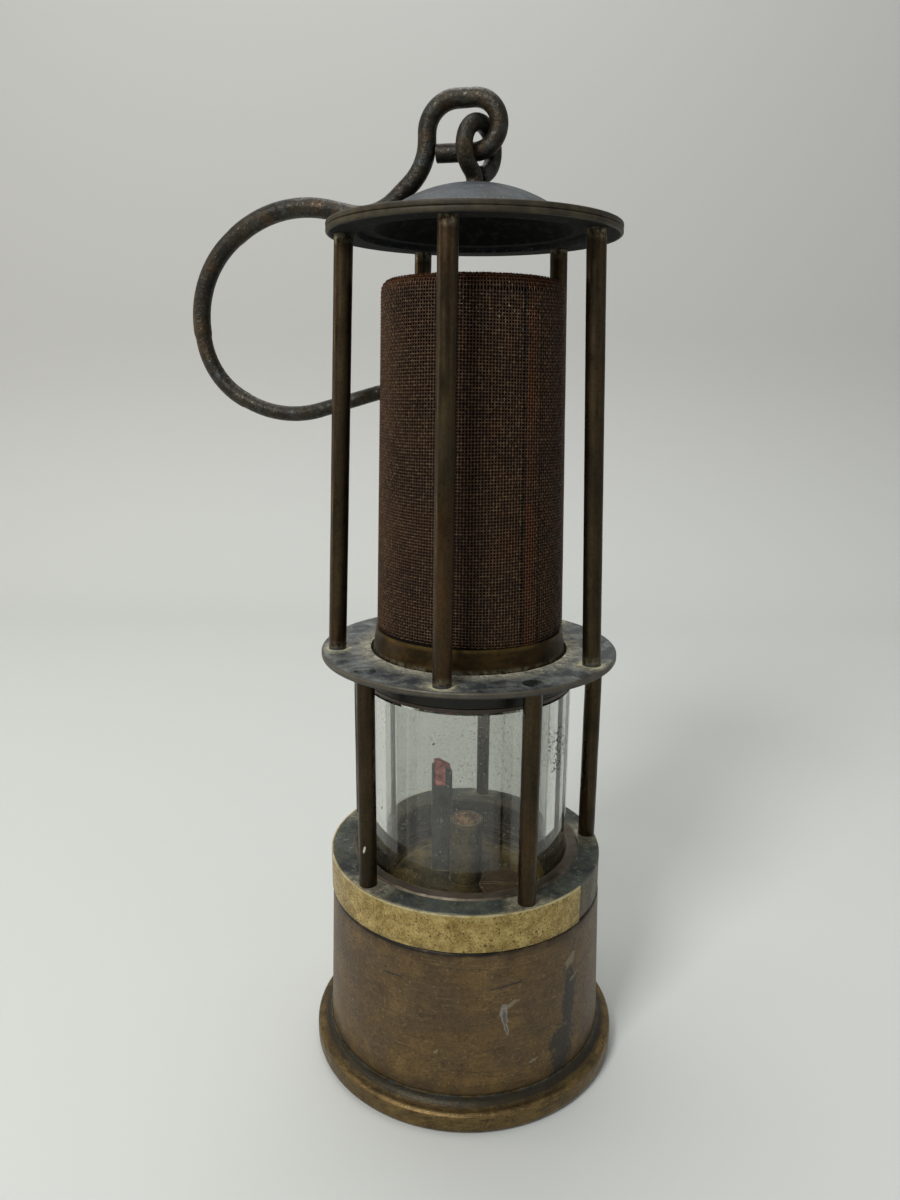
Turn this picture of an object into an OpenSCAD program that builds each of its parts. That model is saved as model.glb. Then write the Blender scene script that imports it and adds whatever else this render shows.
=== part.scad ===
// Miner's flame safety lamp: oil vessel and burner below, a thick glass in a cage of
// five pillars, a wire gauze in a second cage above it, a domed crown and a wire hook.
// +Z is up, the lamp's axis is Z, its front looks along -Y and it stands on z = 0.

/* [Glass] */
// Outer radius of the glass cylinder
glass_r = 30; // [25:0.5:36]
// Thickness of the glass wall
glass_wall = 5.5; // [3:0.5:8]
// Height of the glass cylinder
glass_h = 58; // [40:1:80]
// Thickness of each ring gasket that the glass is clamped between
gasket_t = 1; // [0.5:0.1:2]
// Gap between the glass and the ring that it stands in
glass_fit = 0.4; // [0.2:0.1:1]

/* [Collar] */
// Radial thickness of the seat ring round the foot of the glass
seat_wall = 3.75; // [2.5:0.05:6]
// Depth from the collar's top to the shelf that carries the glass
seat_depth = 6.7; // [5.5:0.1:9]
// Thickness of the shelf
shelf_t = 1.4; // [1:0.1:2.5]
// Height of the collar ring
collar_h = 11.5; // [9.5:0.1:16]
// Thickness of the collar's top, which the lower pillars are set in
collar_land_t = 4.5; // [4.2:0.1:6]
// Wall of the collar round the neck of the vessel
collar_wall = 2.75; // [2:0.05:5]
// Thickness of the brass band bent round the collar
band_t = 0.5; // [0.3:0.1:1]
// Where the band's right end lies, in degrees from the front towards the right
band_from = 52; // [0:1:90]
// How far the band goes round, in degrees
band_sweep = 212; // [90:1:340]

/* [Vessel] */
// Height of the vessel from the table to its shoulder
vessel_h = 53.1; // [36:0.1:80]
// Thickness of the vessel's sheet wall
vessel_wall = 1.2; // [0.8:0.1:2]
// How much wider the vessel is at the foot than at the shoulder, on the radius
vessel_flare = 1.2; // [0:0.1:4]
// Wall of the neck that screws up into the collar
neck_wall = 2.3; // [1.5:0.1:4]
// How far the base flange stands out from the vessel
base_step = 4.6; // [3.5:0.1:8]
// Height of the base flange at its outer edge
base_lip_h = 6.8; // [5:0.1:9]
// Thickness of the top and bottom plates of the vessel
plate_t = 1.5; // [1:0.1:2.5]

/* [Burner] */
// Outer radius of the round wick tube
wick_tube_r = 5; // [4:0.1:6]
// Height of the round wick tube above the vessel's top
wick_tube_h = 20; // [12:1:30]
// Width of the flat tube
flat_tube_w = 6.5; // [5:0.1:8]
// Thickness of the flat tube
flat_tube_t = 3.6; // [2.5:0.1:4]
// Height of the flat tube above the vessel's top
flat_tube_h = 35; // [20:1:45]
// Wall of both tubes
tube_wall = 0.6; // [0.4:0.1:1]
// Length of both tubes below the vessel's top plate
tube_tail = 9; // [4:1:20]
// Height of the wicks' lower ends over the vessel's bottom plate
wick_floor = 6; // [3:1:15]
// Radius of the filler plug's head
plug_r = 7.8; // [6.5:0.1:8.5]
// Radius of the filler plug's screwed stem
plug_stem_r = 6.4; // [4:0.1:6.5]
// Length of the stem below the head
plug_stem_h = 7; // [4:0.5:12]

/* [Pillars] */
// Radius of a pillar rod
pillar_r = 2.5; // [2:0.1:3]
// Distance of the lower pillars' axes in from the band
pillar_inset = 3.1; // [2.9:0.1:3.6]
// Direction of the first lower pillar, in degrees from the front towards the right
lower_turn = 26; // [0:1:71]
// Direction of the first upper pillar
upper_turn = -10; // [-36:1:36]
// Height of the upper pillars between the two plates
upper_pillar_h = 111.2; // [80:1:150]
// How far each upper pillar leans in towards the crown
pillar_lean = 3.9; // [0:0.1:6]
// Radius of the riveted tenon at a pillar's end
tenon_r = 1.8; // [1.2:0.1:2]

/* [Plates and crown] */
// Thickness of the middle plate
mid_t = 1.8; // [1.2:0.1:3]
// Distance from the pillars' axes out to the middle plate's edge
mid_edge = 4.6; // [4:0.1:8]
// Width of the flat ring under the crown
crown_ring_w = 8.2; // [7.5:0.1:12]
// Thickness of the flat ring and of the crown's rim, each
crown_t = 1.4; // [1:0.1:2]
// Distance from the pillars' axes out to the crown's edge
crown_edge = 4.7; // [4:0.1:8]
// Width of the crown's flat rim, from its edge in to the dome
rim_w = 12.2; // [9:0.1:16]
// Rise of the dome over the rim
dome_rise = 10.1; // [5:0.1:16]
// Thickness of the dome
dome_t = 1.2; // [0.8:0.1:2]

/* [Gauze] */
// Height of the gauze
gauze_h = 107.5; // [70:0.5:112]
// How much narrower the gauze is at its top, on the radius
gauze_taper = 2.6; // [0:0.1:5]
// Thickness of the doubled wire cloth
gauze_wall = 0.8; // [0.5:0.1:1.5]
// Radius of the gauze's rounded top corner
gauze_corner_r = 3; // [1.5:0.1:6]
// Where the lapped seam begins, in degrees from the front towards the right
seam_from = 32; // [0:1:360]
// How far the lapped seam goes round, in degrees
seam_sweep = 11; // [6:1:30]
// How much the ring that clamps the gauze stands down from the middle plate
gauze_ring_h = 7.3; // [5:0.1:12]
// How far the brass ferrule lies inside the glass's outer radius
ferrule_step = 2.4; // [2:0.1:3.5]
// Height of the ferrule above the middle plate
ferrule_h = 6.3; // [4:0.1:12]
// Gap between the ferrule and the middle plate's hole
ferrule_gap = 0.8; // [0.3:0.1:1.5]

/* [Swivel eye] */
// Radius of the swivel eye's rod
eye_rod_r = 2.2; // [1.8:0.05:2.4]
// Radius of the eye, measured to the middle of the rod
eye_r = 6.2; // [6:0.1:7]
// How far the eye stands to one side of its shank
eye_side = 1.7; // [1.2:0.1:2.5]
// Direction of the eye's side, in degrees from +X towards +Y
eye_turn = 52; // [45:1:58]
// Angle of the bend between the shank and the eye
eye_neck = 50; // [40:1:60]
// Height of the eye's lowest point over the dome, measured to the middle of the rod
eye_rise = 2.5; // [2.5:0.1:5]

/* [Hook] */
// Radius of the hook's rod where it is linked in the swivel eye
hook_rod_r = 2.35; // [2:0.05:2.4]
// Radius of the rod in the leg that leads down over the dome
hook_leg_rod_r = 2.45; // [2:0.05:2.6]
// Radius of the rod at its thickest, in the top of the large bend
hook_bow_rod_r = 2.6; // [2.2:0.05:2.8]
// Radius of the rod at the hook's tip
hook_tip_r = 2; // [1.5:0.05:2.3]
// Direction that the hook lies in, in degrees from the front towards the right
hook_turn = 258; // [254:1:262]
// Radius of the linked bend of the hook's own eye
hook_eye_r = 6.4; // [6.2:0.1:7]
// Radius of the bend from the hook's eye into its leg
hook_crook_r = 7.9; // [6.6:0.1:9]
// Distance from the lamp's axis out to the leg
hook_leg_out = 13; // [12:0.1:15]
// Radius of the two bends that lead the leg over the crown, where the dome leaves room
hook_knee_r = 14; // [10:0.5:16]
// Gap between the hook and the crown's rim
hook_rim_gap = 1.2; // [0.6:0.1:3]
// How much the rod climbs towards the crown's edge, in degrees
hook_climb = 12; // [5:1:18]
// Distance from the crown's edge out to where the large bend begins
hook_past_edge = 2; // [1:0.5:8]
// Radius of the large bend at its top
hook_bow_r = 33.6; // [28:0.2:36]
// Radius of the large bend at its outer side
hook_side_r = 27.4; // [22:0.2:32]
// Radius of the large bend below, where it turns back
hook_curl_r = 21.9; // [18:0.1:26]
// Radius of the large bend where it runs back into the cage
hook_foot_r = 30.4; // [24:0.2:36]

/* [Hidden] */
$fn = 72;

// Gaps between pieces of one body, and of two bodies that move apart
fit = 0.05;
apart = 0.3;
thread_fit = 0.1;
turn_fit = 0.08;
slide_fit = 0.1;
shell_fit = 0.4;

// Collar and seat, from the glass outwards
seat_bore_r = glass_r + glass_fit;
seat_r = seat_bore_r + seat_wall;
seat_flange_r = seat_r + 0.75;
shelf_r = glass_r - glass_wall + 0.5;
collar_hole_r = seat_r + fit;
neck_bore_r = seat_flange_r + shell_fit;
neck_r = neck_bore_r + neck_wall;
collar_bore_r = neck_r + thread_fit;
collar_r = collar_bore_r + collar_wall;
band_r = collar_r + band_t;
band_inset = 0.2;
seat_lip = 0.4;

// Vessel
shoulder_r = band_r - 0.3;
foot_r = shoulder_r + vessel_flare;
base_r = foot_r + base_step;
base_rim_t = 0.5;
base_foot_edge_r = 2.4;
base_top_edge_r = 1.4;
base_cove_r = base_step - base_rim_t - base_top_edge_r;
base_ring_h = base_lip_h + base_cove_r;
base_sole_t = 1.6;
base_sole_r = foot_r - vessel_wall - 2.7;
shoulder_round = 0.8;

// Heights, from the table up
collar_z = vessel_h + apart;
collar_top = collar_z + collar_h;
land_z = collar_top - collar_land_t;
neck_top = land_z - shell_fit;
shelf_z = collar_top - seat_depth;
glass_z = shelf_z + gasket_t;
glass_top = glass_z + glass_h;
gauze_ring_z = glass_top + gasket_t;
mid_z = gauze_ring_z + gauze_ring_h;
mid_top = mid_z + mid_t;
crown_ring_z = mid_top + upper_pillar_h;
crown_z = crown_ring_z + crown_t;
rim_top = crown_z + crown_t;
dome_top = rim_top + dome_rise;

// Pillars and plates
pillar_count = 5;
lower_circle_r = band_r - pillar_inset;
crown_circle_r = lower_circle_r - pillar_lean;
lean = atan(pillar_lean / upper_pillar_h);
tenon_fit = 0.05;
tenon_in = 3.6;
lower_head_r = 2.9;
lower_head_h = 0.5;
crown_head_r = 3;
crown_head_h = 0.9;
mid_r = lower_circle_r + mid_edge;
crown_r = crown_circle_r + crown_edge;
plate_round = 0.5;

// Dome
dome_foot_r = crown_r - rim_w;
dome_r = (pow(dome_foot_r, 2) + pow(dome_rise, 2)) / (2 * dome_rise);
dome_centre = dome_top - dome_r;

// Gauze, its ring and its ferrule
gauze_ring_r = glass_r;
gauze_shelf_t = 1.8;
ferrule_wall = 0.7;
ferrule_r = glass_r - ferrule_step;
ferrule_draw = 0.75;
ferrule_z = gauze_ring_z + gauze_shelf_t;
ferrule_top = mid_top + ferrule_h;
gauze_z = ferrule_z;
gauze_foot_r = ferrule_r - ferrule_draw - ferrule_wall - fit
             + gauze_taper * (ferrule_top - gauze_z) / gauze_h;
gauze_top = gauze_z + gauze_h;
gauze_top_r = gauze_foot_r - gauze_taper;
seam_t = 0.35;
seam_end_gap = 1.2;

// Burner
plate_z = vessel_h - plate_t;
wick_z = plate_t + wick_floor;
wick_r = wick_tube_r - tube_wall - slide_fit;
wick_crown = 1.4;
flat_tube_at = [-7.8, 5.4];
flat_wick_w = flat_tube_w - 2 * tube_wall - 2 * slide_fit;
flat_wick_t = flat_tube_t - 2 * tube_wall - 2 * slide_fit;
flat_wick_rise = 1.5;
tube_window_w = 3.6;
tube_window_h = 6.5;
plug_at = [11.9, -5.9];
plug_washer_t = 0.6;
plug_head_t = 1.2;
plug_slot_w = 1.2;
plug_slot_d = 0.6;

// Bent rods
bend_lap = 0.05;
bend_hair = 0.02;

// Swivel eye: its ring joins its shank through a straight and a small bend
eye_z = dome_top + eye_rise + eye_r;
eye_bend_r = 3;
eye_gap = 4;
eye_join = [eye_side - eye_r * cos(eye_neck), eye_z - eye_r * sin(eye_neck)];
eye_run = (-eye_join[0] - eye_bend_r * (1 - cos(eye_neck))) / sin(eye_neck);
eye_bend_z = eye_join[1] - eye_run * cos(eye_neck) - eye_bend_r * sin(eye_neck);
swivel_washer_r = 5.5;
swivel_washer_t = 1.2;
swivel_washer_top = dome_centre + sqrt(pow(dome_r - dome_t, 2) - pow(swivel_washer_r, 2)) - apart;
swivel_head_r = 3.6;
swivel_head_h = 1.2;
swivel_foot_z = swivel_washer_top - swivel_washer_t - swivel_head_h;

// Hook: where its linked bend lies, its butt end, and its leg
hook_link_at = [0.4, dome_top + 14.3];
hook_side = -1;
hook_butt_gap = 0.4;
hook_leg_run = 1.7;
hook_eye_flat = hook_leg_out - hook_link_at[0] - hook_crook_r;
hook_start = [hook_leg_out - hook_rod_r - hook_butt_gap, hook_link_at[1] - hook_eye_r];
hook_leg_at = [hook_leg_out, hook_link_at[1] + hook_eye_r - hook_crook_r - hook_leg_run];

// The knee at the leg's foot and the sag over the rim are equal bends, clear of the
// dome, joined by a straight run that touches both; rod_reach is to the rod's middle
hook_dome_gap = 0.35;
hook_knee_gap = 0.8;
rod_reach = dome_r + hook_leg_rod_r;
leg_rise = hook_leg_at[1] - dome_centre;
knee_room = (pow(hook_leg_out, 2) + pow(leg_rise, 2) - pow(rod_reach + hook_knee_gap, 2))
          / (2 * (rod_reach + hook_knee_gap - hook_leg_out));
knee_r = min(hook_knee_r, knee_room);
knee_at = hook_leg_at + [knee_r, 0];
sag_z = rim_top + hook_rim_gap + hook_leg_rod_r + knee_r;
sag_at = [sqrt(pow(rod_reach + hook_dome_gap + knee_r, 2) - pow(sag_z - dome_centre, 2)), sag_z];
slant = 90 - atan2(sag_at[1] - knee_at[1], sag_at[0] - knee_at[0]);
bow_start = crown_r + hook_past_edge;
bow_run = (bow_start - sag_at[0] - knee_r * sin(hook_climb)) / cos(hook_climb);

// Each step is a straight run, then a bend of a radius and an angle, and the rod's
// radius there; a positive angle turns back towards the lamp. The rod grows thinner
// in the short runs between the parts of the large bend.
hook_taper_run = 1.5;
hook_steps = [
    [hook_start[0] - hook_link_at[0], hook_eye_r, 180, hook_rod_r],
    [hook_eye_flat, hook_crook_r, 90, hook_leg_rod_r],
    [hook_leg_run, knee_r, slant - 180, hook_leg_rod_r],
    [norm(sag_at - knee_at), knee_r, 90 - hook_climb - slant, hook_leg_rod_r],
    [bow_run, hook_bow_r, 49, hook_bow_rod_r],
    [hook_taper_run, hook_side_r, 60, hook_bow_rod_r - 0.1],
    [hook_taper_run, hook_curl_r, 57, hook_tip_r + 0.25],
    [hook_taper_run, hook_foot_r, 42, hook_tip_r + 0.1]
];
hook_last = path_end(hook_steps, hook_start, -90);
tip_gap_r = gauze_r_at(hook_last[1]) + apart + hook_tip_r;
tip_s = sqrt(pow(tip_gap_r, 2) - pow(hook_side, 2));
hook_tip_run = (hook_last[0] - tip_s) / -sin(hook_last[2]);

// Points of an arc about c, from angle a0 to a1
function arc(c, r, a0, a1, n = 8) =
    [for (i = [0:n]) c + r * [cos(a0 + (a1 - a0) * i / n), sin(a0 + (a1 - a0) * i / n)]];

// Place and heading where a path of runs and bends ends; the heading is measured
// from straight up towards +X
function path_end(steps, at, heading, i = 0) =
    i == len(steps) ? [at[0], at[1], heading] :
    let (run = steps[i][0], r = steps[i][1], turn = steps[i][2], s = sign(turn),
         bend = at + run * [sin(heading), cos(heading)],
         next = bend + s * r * [cos(heading) - cos(heading + turn), sin(heading + turn) - sin(heading)])
    path_end(steps, next, heading + turn, i + 1);

// Outer radius of the gauze at a height
function gauze_r_at(z) = gauze_foot_r - gauze_taper * (z - gauze_z) / gauze_h;

// Turns a child that lies along +X to a direction measured from the front
module facing(turn) rotate([0, 0, turn - 90]) children();

// A flat ring with its outer edges rounded
module rounded_ring(r_in, r_out, h, edge) rotate_extrude() polygon(concat(
    [[r_in, 0]],
    arc([r_out - edge, edge], edge, -90, 0, 4),
    arc([r_out - edge, h - edge], edge, 0, 90, 4),
    [[r_in, h]]));

module plain_ring(r_in, r_out, h) difference() {
    cylinder(r = r_out, h = h);
    translate([0, 0, -1]) cylinder(r = r_in, h = h + 2);
}

// A low domed rivet head that stands on z = 0
module rivet_head(r, h) {
    ball_r = (r * r + h * h) / (2 * h);
    intersection() {
        translate([0, 0, h - ball_r]) sphere(r = ball_r);
        cylinder(r = r, h = h + 1);
    }
}

// A round bend that starts upwards at the origin and turns towards +X
module rod_bend(rod_r, bend_r, turn) mirror([turn < 0 ? 1 : 0, 0, 0])
    translate([bend_r, 0, 0]) rotate([90, 0, 0]) rotate([0, 0, 180 - abs(turn)])
        rotate_extrude(angle = abs(turn)) translate([bend_r, 0]) circle(r = rod_r, $fn = 24);

// A rod bent step by step, with its children at its end. Each run tapers from the rod's
// radius before it to the next bend's. It enters the bends beside it by a lap and is a
// hair thinner than they are, so that they join soundly.
module bent_rod(steps, i = 0) {
    if (i == len(steps)) {
        children();
    } else {
        run = steps[i][0];
        bend_r = steps[i][1];
        turn = steps[i][2];
        rod_r = steps[i][3];
        from_r = i == 0 ? rod_r : steps[i - 1][3];
        from = i == 0 ? 0 : -bend_lap;
        translate([0, 0, from])
            cylinder(r1 = from_r - bend_hair, r2 = rod_r - bend_hair, h = run + bend_lap - from, $fn = 24);
        translate([0, 0, run]) {
            rod_bend(rod_r, bend_r, turn);
            translate([sign(turn) * bend_r * (1 - cos(turn)), 0, bend_r * sin(abs(turn))])
                rotate([0, turn, 0]) bent_rod(steps, i + 1) children();
        }
    }
}

// An outline with straight sides and round ends
module slot_shape(w, t) {
    square([w - t, t], center = true);
    for (side = [-1, 1]) translate([side * (w - t) / 2, 0]) circle(d = t, $fn = 32);
}

// Vessel

// Flange that the lamp stands on, with a cove up to the wall and a sole turned in below it
module base_ring() color("#6e5636") rotate_extrude() polygon(concat(
    [[base_sole_r, 0]],
    arc([base_r - base_foot_edge_r, base_foot_edge_r], base_foot_edge_r, -90, 0),
    arc([base_r - base_top_edge_r, base_lip_h - base_top_edge_r], base_top_edge_r, 0, 90, 6),
    arc([foot_r + base_rim_t + base_cove_r, base_ring_h], base_cove_r, -95, -180),
    [[foot_r + fit, base_ring_h], [foot_r + fit, base_sole_t], [base_sole_r, base_sole_t]]));

// Pan pressed from sheet: its floor fills the sole's opening and its edge lies on the sole
module vessel_bottom() color("#6a5235") rotate_extrude() polygon([
    [0, 0], [base_sole_r - fit, 0], [base_sole_r - fit, base_sole_t],
    [foot_r - vessel_wall - fit, base_sole_t], [foot_r - vessel_wall - fit, base_sole_t + plate_t],
    [base_sole_r - fit - plate_t, base_sole_t + plate_t], [base_sole_r - fit - plate_t, plate_t],
    [0, plate_t]]);

// Sheet wall: straight inside the base ring, then drawn in a little up to the shoulder
module vessel_body() color("#5f4a36") rotate_extrude() polygon(concat(
    [[foot_r - vessel_wall, base_sole_t], [foot_r, base_sole_t], [foot_r, base_ring_h]],
    arc([shoulder_r - shoulder_round, vessel_h - shoulder_round], shoulder_round, 0, 70, 4),
    [[shoulder_r - vessel_wall, vessel_h - 0.1], [shoulder_r - vessel_wall, plate_z],
     [foot_r - vessel_wall, base_ring_h]]));

module vessel_top() color("#6a5738") difference() {
    union() {
        translate([0, 0, plate_z]) cylinder(r = shoulder_r - vessel_wall - fit, h = plate_t);
        translate([0, 0, vessel_h - 0.1]) plain_ring(neck_bore_r, neck_r, neck_top - vessel_h + 0.1);
    }
    translate([0, 0, plate_z - 1]) cylinder(r = wick_tube_r + fit, h = plate_t + 2);
    translate([plug_at[0], plug_at[1], plate_z - 1])
        cylinder(r = plug_stem_r + thread_fit, h = plate_t + 2);
    translate([flat_tube_at[0], flat_tube_at[1], plate_z - 1])
        linear_extrude(plate_t + 2) slot_shape(flat_tube_w + 2 * fit, flat_tube_t + 2 * fit);
    for (groove_r = [neck_bore_r - 2.5, neck_bore_r - 8, neck_bore_r - 12])
        translate([0, 0, vessel_h - 0.25]) plain_ring(groove_r - 0.25, groove_r + 0.25, 1);
}

// Burner

module wick_tube() color("#5d5040") translate([0, 0, plate_z - tube_tail])
    plain_ring(wick_tube_r - tube_wall, wick_tube_r, tube_tail + plate_t + wick_tube_h);

module round_wick() color("#6b5140") {
    translate([0, 0, wick_z]) cylinder(r = wick_r, h = vessel_h + wick_tube_h - wick_z);
    translate([0, 0, vessel_h + wick_tube_h]) rivet_head(wick_r, wick_crown);
}

// Flat tube with a slanted mouth and a window that the wick shows through
module flat_tube() color("#4c4a44") translate([flat_tube_at[0], flat_tube_at[1], 0]) difference() {
    translate([0, 0, plate_z - tube_tail])
        linear_extrude(tube_tail + plate_t + flat_tube_h) slot_shape(flat_tube_w, flat_tube_t);
    translate([0, 0, plate_z - tube_tail - 1])
        linear_extrude(tube_tail + plate_t + flat_tube_h + 2)
            slot_shape(flat_tube_w - 2 * tube_wall, flat_tube_t - 2 * tube_wall);
    translate([flat_tube_w / 2 - 2, -5, vessel_h + flat_tube_h]) rotate([0, 50, 0]) cube([8, 10, 8]);
    translate([-tube_window_w / 2 - 0.6, -5, vessel_h + flat_tube_h - tube_window_h])
        cube([tube_window_w, 5, tube_window_h + 1]);
}

module red_wick() color("#a4544a") translate([flat_tube_at[0], flat_tube_at[1], wick_z]) difference() {
    linear_extrude(vessel_h + flat_tube_h + flat_wick_rise - wick_z) slot_shape(flat_wick_w, flat_wick_t);
    translate([-0.6, -5, vessel_h + flat_tube_h + flat_wick_rise - 0.2 - wick_z])
        rotate([0, 24, 0]) cube([8, 10, 4]);
}

module filler_plug() color("#5f4c33") translate([plug_at[0], plug_at[1], 0]) difference() {
    union() {
        translate([0, 0, vessel_h + plug_washer_t]) rounded_ring(0, plug_r, plug_head_t, 0.4);
        translate([0, 0, vessel_h + plug_washer_t - plug_stem_h]) cylinder(r = plug_stem_r, h = plug_stem_h);
    }
    translate([-plug_r, -plug_slot_w / 2, vessel_h + plug_washer_t + plug_head_t - plug_slot_d])
        cube([2 * plug_r, plug_slot_w, 2]);
}

module filler_washer() color("#4a3526") translate([plug_at[0], plug_at[1], vessel_h])
    plain_ring(plug_stem_r + apart, plug_r - 0.2, plug_washer_t - fit);

// Collar

// Ring that the vessel's neck screws into from below and the lower pillars stand on
module collar_ring() color("#3d413e") difference() {
    translate([0, 0, collar_z]) rounded_ring(collar_hole_r, collar_r, collar_h, plate_round);
    translate([0, 0, collar_z - 1]) cylinder(r = collar_bore_r, h = land_z - collar_z + 1);
    for (i = [0:pillar_count - 1]) facing(lower_turn + 360 / pillar_count * i)
        translate([lower_circle_r, 0, collar_top - tenon_in - fit])
            cylinder(r = tenon_r + tenon_fit, h = tenon_in + 1, $fn = 24);
}

module collar_band() color("#a08a5c") facing(band_from - band_sweep)
    translate([0, 0, collar_z + band_inset]) rotate_extrude(angle = band_sweep)
        translate([collar_r + fit, 0]) square([band_t - fit, collar_h - 2 * band_inset]);

// Ring with a shelf for the glass; its flange bears on the underside of the collar's land
module glass_seat_ring() color("#7c6656") rotate_extrude() polygon([
    [shelf_r, shelf_z - shelf_t], [seat_flange_r, shelf_z - shelf_t], [seat_flange_r, land_z - fit],
    [seat_r, land_z - fit], [seat_r, collar_top], [seat_r - seat_lip, collar_top + seat_lip],
    [seat_bore_r + seat_lip, collar_top + seat_lip], [seat_bore_r, collar_top],
    [seat_bore_r, shelf_z], [shelf_r, shelf_z]]);

module gasket(z) translate([0, 0, z]) plain_ring(shelf_r + 0.2, glass_r - 0.2, gasket_t);

module lower_gasket() color("#4b3a2c") gasket(shelf_z);

module upper_gasket() color("#4b3a2c") gasket(glass_top);

// Glass tube with its ground edges broken
module glass() color("#dfe6e4", 0.35) translate([0, 0, glass_z]) rotate_extrude() polygon([
    [glass_r - glass_wall, 0.5], [glass_r - glass_wall + 0.5, 0], [glass_r - 0.5, 0], [glass_r, 0.5],
    [glass_r, glass_h - 0.5], [glass_r - 0.5, glass_h], [glass_r - glass_wall + 0.5, glass_h],
    [glass_r - glass_wall, glass_h - 0.5]]);

// Gauze

// Ring under the middle plate that presses on the glass and holds the ferrule on its shelf
module gauze_ring() color("#2f302d") rotate_extrude() polygon([
    [shelf_r, gauze_ring_z], [gauze_ring_r - 0.4, gauze_ring_z], [gauze_ring_r, gauze_ring_z + 0.4],
    [gauze_ring_r, mid_z], [ferrule_r + fit, mid_z], [ferrule_r + fit, ferrule_z], [shelf_r, ferrule_z]]);

// Drawn brass cup with its upper edge closed in on the wire cloth
module gauze_ferrule() color("#77603a") rotate_extrude() polygon([
    [ferrule_r - ferrule_wall, ferrule_z], [ferrule_r, ferrule_z], [ferrule_r, mid_top],
    [ferrule_r - ferrule_draw, ferrule_top - 0.8], [ferrule_r - ferrule_draw, ferrule_top],
    [ferrule_r - ferrule_draw - ferrule_wall, ferrule_top],
    [ferrule_r - ferrule_wall - 0.1, mid_top]]);

// Tapered cloth tube with a closed top, and its lapped seam
module gauze() color("#4a3126") {
    slope = atan(gauze_taper / gauze_h);
    top_arc = arc([gauze_top_r - gauze_corner_r, gauze_top - gauze_corner_r], gauze_corner_r, 0, 90);
    inner_arc = arc([gauze_top_r - gauze_corner_r, gauze_top - gauze_corner_r],
        gauze_corner_r - gauze_wall, 90, 0);
    rotate_extrude() polygon(concat(
        [[gauze_foot_r - gauze_wall, gauze_z], [gauze_foot_r, gauze_z]], top_arc,
        [[0, gauze_top], [0, gauze_top - gauze_wall]], inner_arc));
    facing(seam_from) rotate_extrude(angle = seam_sweep) polygon([
        [gauze_r_at(ferrule_top + seam_end_gap) - 0.2, ferrule_top + seam_end_gap],
        [gauze_r_at(ferrule_top + seam_end_gap) + seam_t, ferrule_top + seam_end_gap],
        [gauze_r_at(gauze_top - gauze_corner_r) + seam_t, gauze_top - gauze_corner_r],
        [gauze_r_at(gauze_top - gauze_corner_r) - 0.2, gauze_top - gauze_corner_r]]);
}

// Plates and pillars

// Every lower tenon comes up through the middle plate, every upper one goes down through it
module mid_plate() color("#3f4647") difference() {
    translate([0, 0, mid_z]) rounded_ring(ferrule_r + ferrule_gap, mid_r, mid_t, plate_round);
    for (i = [0:pillar_count - 1]) {
        facing(lower_turn + 360 / pillar_count * i) translate([lower_circle_r, 0, mid_z - 1])
            cylinder(r = tenon_r + tenon_fit, h = mid_t + 2, $fn = 24);
        facing(upper_turn + 360 / pillar_count * i) leaning_rod(tenon_r + tenon_fit, mid_z - 1, mid_top + 1);
    }
}

module lower_pillar(i) color("#4b3d33") facing(lower_turn + 360 / pillar_count * i)
    translate([lower_circle_r, 0, 0]) {
        translate([0, 0, collar_top]) cylinder(r = pillar_r, h = mid_z - collar_top, $fn = 32);
        translate([0, 0, collar_top - tenon_in])
            cylinder(r = tenon_r, h = mid_top + 0.1 - collar_top + tenon_in, $fn = 24);
        translate([0, 0, mid_top]) rivet_head(lower_head_r, lower_head_h);
    }

// The stretch of a leaning pillar's axis between two heights, cut off level
module leaning_rod(r, z0, z1) intersection() {
    translate([lower_circle_r, 0, mid_top]) rotate([0, -lean, 0]) translate([0, 0, -10])
        cylinder(r = r, h = upper_pillar_h + 30, $fn = 32);
    translate([0, -10, z0]) cube([2 * lower_circle_r, 20, z1 - z0]);
}

module upper_pillar(i) color("#54412f") facing(upper_turn + 360 / pillar_count * i) {
    leaning_rod(pillar_r, mid_top, crown_ring_z);
    leaning_rod(tenon_r, mid_z - 0.1, rim_top + 0.1);
    translate([lower_circle_r + mid_t * tan(lean), 0, mid_z]) mirror([0, 0, 1])
        rivet_head(lower_head_r, lower_head_h);
    translate([crown_circle_r - 2 * crown_t * tan(lean), 0, rim_top])
        rivet_head(crown_head_r, crown_head_h);
}

module crown_ring() color("#3c3833") difference() {
    translate([0, 0, crown_ring_z]) rounded_ring(crown_r - crown_ring_w, crown_r, crown_t, plate_round);
    for (i = [0:pillar_count - 1]) facing(upper_turn + 360 / pillar_count * i)
        leaning_rod(tenon_r + tenon_fit, crown_ring_z - 1, crown_z + 1);
}

// Pressed crown: a flat rim and a dome, with the swivel's hole in the middle
module crown_cap() color("#454b4f") difference() {
    union() {
        translate([0, 0, crown_z]) rounded_ring(0, crown_r, crown_t, plate_round);
        intersection() {
            translate([0, 0, dome_centre]) sphere(r = dome_r, $fn = 96);
            translate([0, 0, crown_z + crown_t / 2]) cylinder(r = dome_foot_r + 2, h = dome_rise + 5);
        }
    }
    translate([0, 0, dome_centre]) sphere(r = dome_r - dome_t, $fn = 96);
    translate([0, 0, crown_z]) cylinder(r = eye_rod_r + turn_fit, h = dome_rise + 5, $fn = 32);
    for (i = [0:pillar_count - 1]) facing(upper_turn + 360 / pillar_count * i)
        leaning_rod(tenon_r + tenon_fit, crown_z - 1, rim_top + 1);
}

// Hanger

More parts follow.
